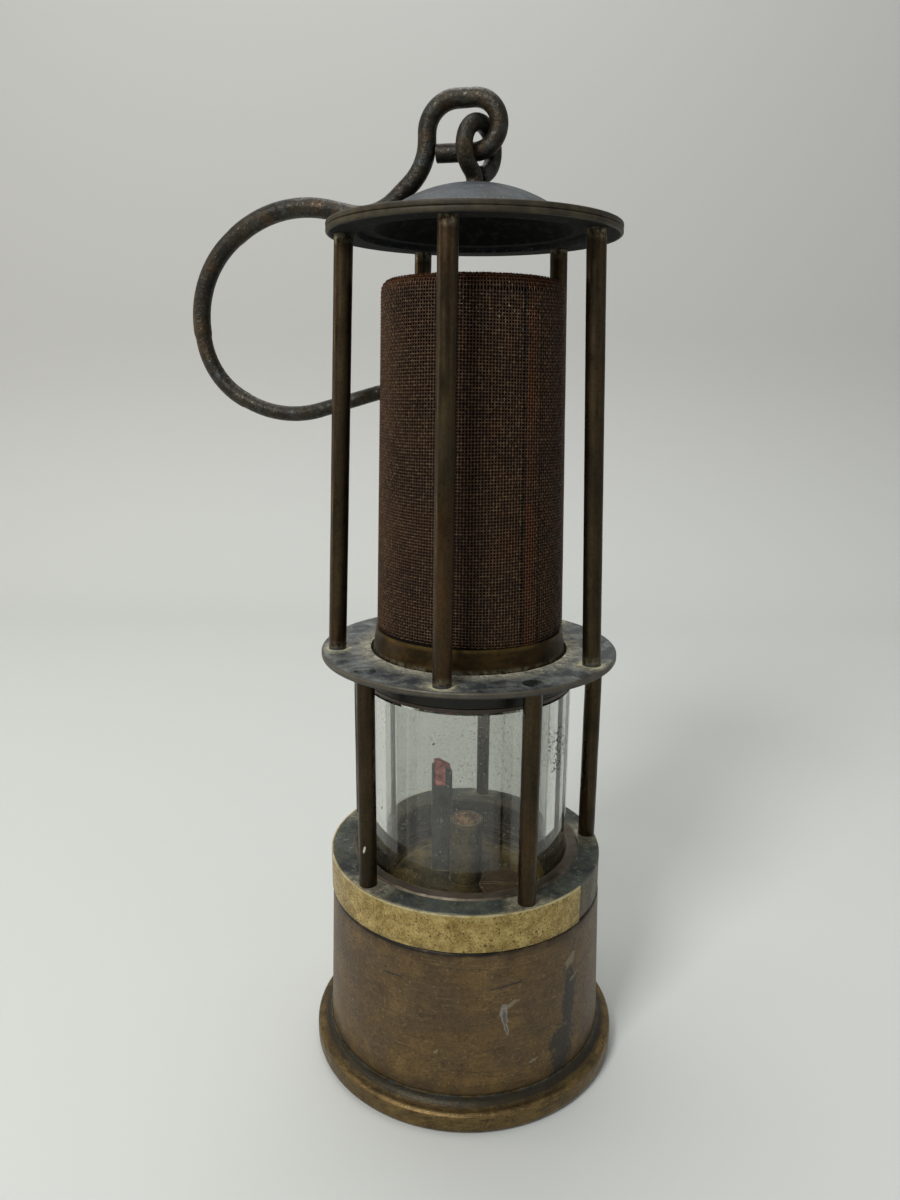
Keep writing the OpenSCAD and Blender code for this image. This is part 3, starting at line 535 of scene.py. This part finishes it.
def bronze_rod_drawn(tree):
    """Pillars: bronze rod, drawn: dark brown and satin, with fine lines along it and red-brown stretches.

    The drawing lines are 0.1 mm apart and drawn at 0.5 mm so that they show. Dust lies round the
    pillars' ends. Their riveted heads are slate in the middle plate and dark brown on the crown.
    """
    lines = patches(tree, 0.5 * MM, 0.35, 0.72, stretch=(1, 1, 0.04), shift=4, detail=3)
    crown_head = by_height(tree, RIM_TOP - 0.2 * MM, RIM_TOP)
    plate_head = add(tree, "Math", (
        by_height(tree, PLATE_TOP - 0.1 * MM, PLATE_TOP),
        by_height(tree, PLATE_TOP + 0.8 * MM, PLATE_TOP + 0.6 * MM)), operation="MULTIPLY")
    crown_foot = by_height(tree, CROWN_LOW - 3 * MM, CROWN_LOW - 1 * MM)
    at_plate = add(tree, "Math", (
        by_height(tree, PLATE_TOP + 3 * MM, PLATE_TOP + 0.6 * MM),
        by_height(tree, PLATE_TOP - 0.2 * MM, PLATE_TOP + 0.1 * MM)), operation="MULTIPLY")
    dusty = add(tree, "Math", (at_plate, crown_foot), operation="MAXIMUM")
    colour = coats(
        tree, "#251e14",
        ("#3b301d", patches(tree, 9 * MM, 0.36, 0.68, stretch=(1, 1, 0.4), detail=5)),
        ("#4c331c", patches(tree, 13 * MM, 0.5, 0.68, most=0.6, stretch=(1, 1, 0.25), shift=7)),
        ("#4f4027", lines, patches(tree, 8 * MM, 0.35, 0.6, most=0.45, shift=13)),
        ("#16120c", patches(tree, 0.8 * MM, 0.45, 0.72, most=0.5, shift=5, detail=3)),
        ("#8c8872", dusty, patches(tree, 1.3 * MM, 0.4, 0.62, most=0.6, shift=8)),
        ("#4b4f51", plate_head, patches(tree, 2 * MM, 0.2, 0.4, most=0.95, shift=2)),
        ("#1c1510", crown_head, patches(tree, 2 * MM, 0.2, 0.4, most=0.9, shift=2)),
        ("#cfcabb", marks(tree, VESSEL_R, PILLAR_CHIPS, most=0.9)),
    )
    rough = patches(tree, 6 * MM, 0.2, 0.8, most=0.7, stretch=(1, 1, 0.4), shift=18)
    return shader(tree, colour, 0.85, rough, lines, 0.02 * MM)


def iron_plate_dusty(tree):
    """Middle plate: iron, turned from sheet: dull dark slate with grey clouds and a brown-grey edge.

    Pale tan dust lies along the ferrule and round the pillars' feet, where no cloth reaches.
    """
    grain = patches(tree, SHEET_GRAIN, 0.4, 0.7, shift=5, detail=3)
    by_ferrule = by_radius(tree, FERRULE_R + 7 * MM, FERRULE_R + 1 * MM)
    at_feet = at_pillars(tree, UPPER_FIRST, 8 * MM, 3.4 * MM, fray=3 * MM)
    sheltered = add(tree, "Math", (by_ferrule, at_feet), operation="MAXIMUM")
    colour = coats(
        tree, "#2e3236",
        ("#494e50", patches(tree, 6 * MM, 0.38, 0.64, detail=5)),
        ("#23272b", grain, patches(tree, 4 * MM, 0.35, 0.6, most=0.5, shift=21)),
        ("#888b83", patches(tree, 4.5 * MM, 0.45, 0.63, most=0.7, shift=15, detail=7, rough=0.7)),
        ("#aba58d", sheltered, patches(tree, 2.0 * MM, 0.34, 0.6, most=0.9, shift=9, detail=6, rough=0.7)),
        ("#d8d4c3", sheltered, patches(tree, 0.9 * MM, 0.56, 0.66, most=0.75, shift=25, detail=3)),
        ("#c3bb95", at_pillars(tree, UPPER_FIRST, 4.4 * MM, 3.2 * MM, fray=1.2 * MM),
         patches(tree, 1.5 * MM, 0.25, 0.5, most=0.85, shift=62)),
        ("#403a2d", by_radius(tree, PLATE_R - 0.9 * MM, PLATE_R - 0.2 * MM, most=0.85)),
        ("#8b8670", worn_edges(tree, 0.4 * MM), patches(tree, 2.5 * MM, 0.35, 0.6, most=0.5, shift=14)),
        ("#1f1d19", facing_down(tree, most=0.9)),
    )
    rough = add(tree, "MapRange", (sheltered, 0.0, 1.0, 0.45, 0.8))
    return shader(tree, colour, 0.35, rough, grain, 0.03 * MM)


def brass_ring_sooted(tree):
    """Gauze ring: brass, turned: satin, gone near black with soot."""
    clouds = patches(tree, 5 * MM, 0.4, 0.7)
    colour = coats(
        tree, "#100f0c",
        ("#26231c", clouds),
        ("#5d543f", worn_edges(tree, 0.5 * MM), patches(tree, 4 * MM, 0.4, 0.6, most=0.5, shift=3)),
    )
    rough = add(tree, "MapRange", (clouds, 0.0, 1.0, 0.38, 0.55))
    return shader(tree, colour, 0.5, rough, clouds, 0.03 * MM)


def brass_ferrule_brown(tree):
    """Ferrule: brass, spun: satin brown, with its closed-in edge rubbed to dull gold and dust at its foot."""
    clouds = patches(tree, 5 * MM, 0.4, 0.68, stretch=(1, 1, 2), detail=5)
    colour = coats(
        tree, "#2c210f",
        ("#463417", clouds),
        ("#1c150b", patches(tree, 2.4 * MM, 0.5, 0.68, most=0.5, shift=12)),
        ("#6e5a30", by_height(tree, FERRULE_TOP - 1.2 * MM, FERRULE_TOP - 0.5 * MM),
         patches(tree, 6 * MM, 0.35, 0.6, most=0.6, shift=15)),
        ("#85836f", by_height(tree, PLATE_TOP + 1.2 * MM, PLATE_TOP),
         patches(tree, 2 * MM, 0.38, 0.6, most=0.7, shift=6)),
    )
    rough = add(tree, "MapRange", (clouds, 0.0, 1.0, 0.36, 0.5))
    return shader(tree, colour, 0.85, rough, clouds, 0.02 * MM)


def iron_pressed_slate(tree):
    """Crown: sheet iron, pressed: dull slate blue-grey on top, clouded, with pale specks.

    Its edges are dark olive-brown, and below it is near black, partly soot and partly painted
    shade, with a little dust.
    """
    grain = patches(tree, SHEET_GRAIN, 0.4, 0.7, shift=5, detail=3)
    # The underside inside the rim: near black as soot and as painted shade
    under = add(tree, "Math", (
        facing_down(tree), by_radius(tree, CROWN_R - 0.5 * MM, CROWN_R - 1.2 * MM)), operation="MULTIPLY")
    on_edge = add(tree, "Math", (
        by_radius(tree, CROWN_R - 1.2 * MM, CROWN_R - 0.4 * MM),
        by_height(tree, RIM_TOP + 0.3 * MM, RIM_TOP - 0.2 * MM)), operation="MULTIPLY")
    colour = coats(
        tree, "#222628",
        ("#393e42", patches(tree, 9 * MM, 0.36, 0.66, detail=5)),
        ("#3e3a33", patches(tree, 6 * MM, 0.52, 0.7, most=0.6, shift=18, detail=5)),
        ("#22262a", grain, patches(tree, 5 * MM, 0.35, 0.6, most=0.5, shift=22)),
        ("#596065", patches(tree, 2.5 * MM, 0.52, 0.68, most=0.3, stretch=(0.5, 1, 1), shift=33, detail=6)),
        ("#74797c", patches(tree, 4.5 * MM, 0.56, 0.72, most=0.35, shift=6, detail=7, rough=0.7)),
        ("#b9bdbd", patches(tree, 0.45 * MM, 0.72, 0.75, most=0.6, shift=26, detail=1)),
        ("#2b261c", on_edge),
        ("#3d3626", on_edge, patches(tree, 4 * MM, 0.4, 0.6, shift=43)),
        ("#7d765f", worn_edges(tree, 0.25 * MM), patches(tree, 3 * MM, 0.4, 0.62, most=0.5, shift=8)),
        ("#040404", under),
        ("#38372f", under, patches(tree, 2.4 * MM, 0.5, 0.68, most=0.4, shift=15, detail=6)),
    )
    rough = add(tree, "MapRange", (under, 0.0, 1.0, 0.55, 1.0))
    return shader(tree, colour, 0.2, rough, grain, 0.03 * MM, specular=0.25)


def iron_rod_forged(tree):
    """Hook and eye: iron rod, bent hot: a rough satin scale, dark brown.

    Slate patches in places are a painted reflection, and it has rust and pale specks.
    """
    scale = patches(tree, 1.2 * MM, 0.4, 0.7, shift=4, detail=5)
    colour = coats(
        tree, "#1a1811",
        ("#2e2a1d", patches(tree, 6 * MM, 0.38, 0.66, detail=5)),
        ("#433018", patches(tree, 4.5 * MM, 0.5, 0.68, most=0.65, shift=7, detail=5)),
        # Painted reflection: slate-blue patches stand for the sky's sheen on the rod
        ("#3e4547", patches(tree, 4.5 * MM, 0.54, 0.7, most=0.6, shift=9, detail=5)),
        ("#0a0907", scale, patches(tree, 3 * MM, 0.35, 0.6, most=0.7, shift=13)),
        ("#827b66", patches(tree, 0.5 * MM, 0.64, 0.72, most=0.45, shift=17, detail=2)),
    )
    rough = add(tree, "MapRange", (scale, 0.0, 1.0, 0.36, 0.58))
    return shader(tree, colour, 0.6, rough, scale, 0.12 * MM)


# Gauze

def gauze_inside_painted_shade(tree):
    """The gauze's closed CAD wall, which stands for the dark inside behind the wires: black and matt,
    as painted shade.
    """
    # Painted shade: the near-black wall and its faint mottle stand for the shaded inside of the gauze
    soot = patches(tree, 3 * MM, 0.3, 0.7)
    colour = coats(tree, "#040302", ("#0b0806", soot))
    return shader(tree, colour, 0.0, 0.9, soot, 0.02 * MM, specular=0.1)


def wire_cloth_rusty(tree):
    """Gauze: plain-woven iron wire: dark brown with rust and old oil, matt here and glossy there.

    The lapped seam is redder, with a painted shadow along its edge, and near the top a few specks
    are pale.
    """
    colour = coats(
        tree, "#332012",
        ("#47301c", patches(tree, 12 * MM, 0.34, 0.66, detail=5)),
        ("#482711", patches(tree, 7 * MM, 0.5, 0.68, most=0.5, shift=8)),
        ("#1d140a", patches(tree, 5 * MM, 0.5, 0.7, most=0.4, shift=18)),
        ("#6b5338", patches(tree, 0.9 * MM, 0.5, 0.62, most=0.75, shift=5, detail=2)),
        ("#5b3216", by_azimuth(tree, 32, 34), by_azimuth(tree, 42, 38),
         patches(tree, 5 * MM, 0.35, 0.55, most=0.7, shift=38)),
        # Painted shadow along the lapped seam's edge
        ("#0b0805", by_azimuth(tree, 30.8, 31.6), by_azimuth(tree, 32.8, 32.2, most=0.8),
         patches(tree, 6 * MM, 0.35, 0.55, shift=39)),
        ("#c9c0ad", patches(tree, 0.5 * MM, 0.68, 0.71, most=0.8, shift=28, detail=1),
         by_height(tree, GAUZE_TOP - 15 * MM, GAUZE_TOP - 10 * MM),
         by_height(tree, GAUZE_TOP - 4 * MM, GAUZE_TOP - 6 * MM),
         by_azimuth(tree, -12, 0), by_azimuth(tree, 50, 38)),
        ("#59300f", by_height(tree, GAUZE_TOP - 3.5 * MM, GAUZE_TOP - 1 * MM, most=0.5)),
    )
    rough = patches(tree, 2 * MM, 0.2, 0.8, most=1.0, shift=3)
    return shader(tree, colour, 0.3, rough, rough, 0.02 * MM)


# 144 openings a square centimetre; each wire waves a little over its own radius to pass the others
MESH_PITCH = 0.833 * MM
WIRE_R = 0.14 * MM
WEAVE_WAVE = 0.19 * MM
WIRE_SIDES = 4
GAUZE_CORNER_R = 3 * MM
CORNER_ROWS = 5
FIRST_ROW_UP = 0.6 * MM
LAP_FROM, LAP_TO = math.radians(32), math.radians(43)
LAP_H = 0.35 * MM

# The cloth was bent round by hand, so its rows rise and fall: how far, three times a turn, and
# the height over which that shifts round by a radian
CLOTH_DRIFT = 0.3 * MM
DRIFTS_A_TURN = 3
CLOTH_DRIFT_H = 14 * MM

SAME_HEIGHT = 0.2 * MM
UP = np.array([0.0, 0.0, 1.0])


def gauze_radius(z):
    """The gauze wall's radius near a height."""
    mesh = NODES["gauze"].data
    points = np.empty(len(mesh.vertices) * 3)
    mesh.vertices.foreach_get("co", points)
    points = points.reshape(-1, 3)
    near = points[np.abs(points[:, 2] - z) < SAME_HEIGHT]
    return float(np.hypot(near[:, 0], near[:, 1]).max())


def gauze_profile():
    """Radius, height and slope of the gauze at each row of wires, from the ferrule up over the corner."""
    low, high = (corner.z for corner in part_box("gauze"))
    foot_r = gauze_radius(low)
    top_r = gauze_radius(high - GAUZE_CORNER_R)
    taper = (foot_r - top_r) / (high - GAUZE_CORNER_R - low)
    start = FERRULE_TOP + FIRST_ROW_UP
    wall_rows = int((high - GAUZE_CORNER_R - start) / MESH_PITCH)
    z = start + np.arange(wall_rows) * MESH_PITCH
    r = foot_r - taper * (z - low)
    around = np.linspace(0, math.pi / 2, CORNER_ROWS + 1)[:-1]
    r = np.concatenate([r, top_r - GAUZE_CORNER_R + GAUZE_CORNER_R * np.cos(around)])
    z = np.concatenate([z, high - GAUZE_CORNER_R + GAUZE_CORNER_R * np.sin(around)])
    slope = np.concatenate([np.zeros(wall_rows), around])
    return r, z, slope, wall_rows


def wires(points, out, across, closed):
    """Vertices and quads of many equal wires; points, out and across have one row for each wire."""
    count, steps = points.shape[:2]
    turns = np.arange(WIRE_SIDES) * 2 * math.pi / WIRE_SIDES
    ring = WIRE_R * (out[:, :, None] * np.cos(turns)[:, None] + across[:, :, None] * np.sin(turns)[:, None])
    vertices = (points[:, :, None] + ring).reshape(-1, 3)
    index = np.arange(count * steps * WIRE_SIDES).reshape(count, steps, WIRE_SIDES)
    here = index if closed else index[:, :-1]
    ahead = np.roll(index, -1, axis=1) if closed else index[:, 1:]
    quads = np.stack([here, np.roll(here, -1, axis=2), np.roll(ahead, -1, axis=2), ahead], axis=-1)
    quads = quads.reshape(-1, 4)
    if not closed:
        quads = np.concatenate([quads, index[:, 0, ::-1], index[:, -1]])
    return vertices, quads


def wall_wires():
    """Uprights and hoops of the gauze's wall, woven one over one, and raised where the sheet is lapped."""
    r, z, slope, wall_rows = gauze_profile()
    columns = 2 * round(math.pi * r[:wall_rows].mean() / MESH_PITCH)
    turns = np.arange(columns) * 2 * math.pi / columns
    out = np.stack([np.sin(turns), -np.cos(turns), np.zeros(columns)], axis=-1)[:, None]
    side = np.stack([np.cos(turns), np.sin(turns), np.zeros(columns)], axis=-1)[:, None]
    normal = out * np.cos(slope)[:, None] + UP * np.sin(slope)[:, None]
    rows = np.arange(len(r))
    weave = np.where((rows + np.arange(columns)[:, None]) % 2 == 0, WEAVE_WAVE, -WEAVE_WAVE)
    in_lap = (turns > LAP_FROM) & (turns < LAP_TO)
    lap = np.where(in_lap[:, None] & (rows < wall_rows), LAP_H, 0.0)
    drift = CLOTH_DRIFT * np.sin(DRIFTS_A_TURN * turns[:, None] + z / CLOTH_DRIFT_H) * (rows < wall_rows)
    base = out * r[:, None] + UP * (z + drift)[:, :, None]
    uprights = base + normal * (lap + weave)[:, :, None]
    hoops = base + normal * (lap - weave)[:, :, None]
    along = np.cross(normal, side)
    across = np.broadcast_to(side, uprights.shape)
    return [
        wires(uprights, normal, across, closed=False),
        wires(hoops.transpose(1, 0, 2), normal.transpose(1, 0, 2), along.transpose(1, 0, 2), closed=True),
    ]


def top_wires():
    """Wires of the gauze's flat top, both ways across it."""
    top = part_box("gauze")[1].z
    flat_r = gauze_radius(top - GAUZE_CORNER_R) - GAUZE_CORNER_R
    half = int(flat_r / MESH_PITCH)
    parts = []
    for axis, over in ((0, 1), (1, -1)):
        for line in range(-half, half + 1):
            offset = line * MESH_PITCH
            reach = int(math.sqrt(flat_r ** 2 - offset ** 2) / MESH_PITCH)
            run = np.arange(-reach, reach + 1)
            points = np.zeros((1, len(run), 3))
            points[0, :, axis] = run * MESH_PITCH
            points[0, :, 1 - axis] = offset
            points[0, :, 2] = top + np.where((run + line) % 2 == 0, over, -over) * WEAVE_WAVE
            across = np.zeros(points.shape)
            across[..., 1 - axis] = over
            if reach > 0:
                parts.append(wires(points, np.broadcast_to(UP, points.shape), across, closed=False))
    return parts


def weave_gauze():
    """The gauze's real wires at their true spacing, on the closed wall that stands for its inside."""
    vertices, quads, count = [], [], 0
    for part_vertices, part_quads in wall_wires() + top_wires():
        vertices.append(part_vertices)
        quads.append(part_quads + count)
        count += len(part_vertices)
    vertices = np.concatenate(vertices).astype(np.float32)
    quads = np.concatenate(quads).astype(np.int32)
    mesh = bpy.data.meshes.new("gauze_weave")
    mesh.vertices.add(len(vertices))
    mesh.vertices.foreach_set("co", vertices.ravel())
    mesh.loops.add(quads.size)
    mesh.loops.foreach_set("vertex_index", quads.ravel())
    mesh.polygons.add(len(quads))
    mesh.polygons.foreach_set("loop_start", np.arange(0, quads.size, 4, dtype=np.int32))
    mesh.polygons.foreach_set("use_smooth", np.ones(len(quads), dtype=bool))
    mesh.update(calc_edges=True)
    mesh.validate()
    mesh.materials.append(new_material(wire_cloth_rusty))
    weave = bpy.data.objects.new("gauze_weave", mesh)
    bpy.context.scene.collection.objects.link(weave)
    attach(weave, "cage")


# Stage, lights and camera

# Angles in radians; the sensor's size in mm
PHOTO_HEIGHT_PX = 1200
CAMERA_FOCAL_PX = 905.1
CAMERA_SENSOR = 36
CAMERA_SEES_TO = 20
CAMERA_AT = Vector((-0.2, -253.15, 202.51)) * MM
CAMERA_YAW = -0.021
CAMERA_PITCH = 0.240
CAMERA_ROLL = 0.008


def make_camera():
    """The photograph's camera: its place and direction were fitted to the lamp's outlines."""
    data = bpy.data.cameras.new("camera")
    data.sensor_fit = "VERTICAL"
    data.sensor_height = CAMERA_SENSOR
    data.sensor_width = CAMERA_SENSOR
    data.lens = CAMERA_FOCAL_PX / PHOTO_HEIGHT_PX * CAMERA_SENSOR
    data.clip_start = 1 * MM
    data.clip_end = CAMERA_SEES_TO
    ahead = Vector((
        math.sin(CAMERA_YAW) * math.cos(CAMERA_PITCH),
        math.cos(CAMERA_YAW) * math.cos(CAMERA_PITCH),
        -math.sin(CAMERA_PITCH)))
    level = Vector((math.cos(CAMERA_YAW), -math.sin(CAMERA_YAW), 0))
    over = level.cross(ahead)
    right = math.cos(CAMERA_ROLL) * level + math.sin(CAMERA_ROLL) * over
    top = -math.sin(CAMERA_ROLL) * level + math.cos(CAMERA_ROLL) * over
    turn = Matrix((right, top, -ahead)).transposed().to_4x4()
    camera = bpy.data.objects.new("camera", data)
    camera.matrix_world = Matrix.Translation(CAMERA_AT) @ turn
    bpy.context.scene.collection.objects.link(camera)
    bpy.context.scene.camera = camera


BACKDROP_W = 3.0
BACKDROP_FRONT, BACKDROP_BACK = -2.0, 0.75
BACKDROP_H = 1.6
BACKDROP_BEND_R = 0.25
BACKDROP_BEND_STEPS = 12


def paper_pale(tree):
    """Backdrop: paper, rolled: matt, pale under the lamp and a little greyer behind it."""
    tooth = patches(tree, 4 * MM, 0.3, 0.7)
    colour = coats(tree, "#bfc1bd", ("#b7b7b4", by_height(tree, 0.0, 0.2)))
    return shader(tree, colour, 0.0, 0.85, tooth, 0.02 * MM, specular=0.2)


def make_backdrop():
    """One pale sheet: a floor that sweeps up behind the lamp."""
    line = [(BACKDROP_FRONT, 0.0)]
    for step in range(BACKDROP_BEND_STEPS + 1):
        turn = math.radians(90 * step / BACKDROP_BEND_STEPS)
        line.append((BACKDROP_BACK - BACKDROP_BEND_R * (1 - math.sin(turn)),
                     BACKDROP_BEND_R * (1 - math.cos(turn))))
    line.append((BACKDROP_BACK, BACKDROP_H))
    vertices = [(side * BACKDROP_W / 2, y, z) for y, z in line for side in (-1, 1)]
    faces = [(2 * k, 2 * k + 1, 2 * k + 3, 2 * k + 2) for k in range(len(line) - 1)]
    mesh = bpy.data.meshes.new("backdrop")
    mesh.from_pydata(vertices, [], faces)
    for polygon in mesh.polygons:
        polygon.use_smooth = True
    mesh.materials.append(new_material(paper_pale))
    backdrop = bpy.data.objects.new("backdrop", mesh)
    bpy.context.scene.collection.objects.link(backdrop)


LIGHT_AIM = Vector((0, 0, 0.13))
DAYLIGHT_STRENGTH = 0.4


def make_light(name, at, width, height, power, colour="#ffffff"):
    """A soft light aimed at the lamp's middle; its power is in watts."""
    data = bpy.data.lights.new(name, "AREA")
    data.color = rgb(colour)[:3]
    data.shape = "RECTANGLE"
    data.size = width
    data.size_y = height
    data.energy = power
    light = bpy.data.objects.new(name, data)
    light.location = at
    light.rotation_mode = "QUATERNION"
    light.rotation_quaternion = (LIGHT_AIM - Vector(at)).to_track_quat("-Z", "Y")
    bpy.context.scene.collection.objects.link(light)


def make_world():
    """Plain grey-white light from all round."""
    world = bpy.data.worlds.new("studio")
    world.use_nodes = True
    background = world.node_tree.nodes["Background"]
    background.inputs["Color"].default_value = rgb("#eef0f1")
    background.inputs["Strength"].default_value = DAYLIGHT_STRENGTH
    bpy.context.scene.world = world


# The scene is set, and then the lamp gets its finishes, from the foot up

bpy.context.scene.view_settings.view_transform = "Standard"
make_camera()
make_backdrop()
make_world()
make_light("key_light", at=(-0.52, -0.86, 0.92), width=0.35, height=0.35, power=13)
make_light("fill_light", at=(0.8, -0.6, 0.55), width=0.7, height=0.7, power=0.8)
make_light("top_light", at=(-0.1, 0.35, 1.2), width=0.8, height=0.8, power=7)
make_light("window_light", at=(-1.0, 0.1, 0.2), width=0.35, height=1.0, power=2.6, colour="#fff0d6")

finish(brass_drawn_brown_patina, "vessel_body")
finish(brass_turned_foot, "base_ring", "vessel_bottom")
finish(brass_turned_oily, "vessel_top", "wick_tube")
finish(brass_plug_brown, "filler_plug")
finish(cotton_wick_charred, "round_wick")
finish(cotton_wick_red, "red_wick")
finish(tinplate_sooty, "flat_tube")
finish(leather_oiled, "filler_washer", "lower_gasket", "upper_gasket")
finish(iron_turned_slate_patina, "collar_ring")
finish(brass_rolled_strip_pitted, "collar_band")
finish(brass_seat_dull, "glass_seat_ring")
finish(glass_drawn_tube, "glass")
finish(brass_ring_sooted, "gauze_ring")
finish(brass_ferrule_brown, "gauze_ferrule")
finish(gauze_inside_painted_shade, "gauze")
finish(iron_plate_dusty, "mid_plate")
finish(bronze_rod_drawn, *PILLARS)
finish(iron_pressed_slate, "crown_ring", "crown_cap")
finish(iron_rod_forged, "swivel_eye", "swivel_washer", "hook")
weave_gauze()
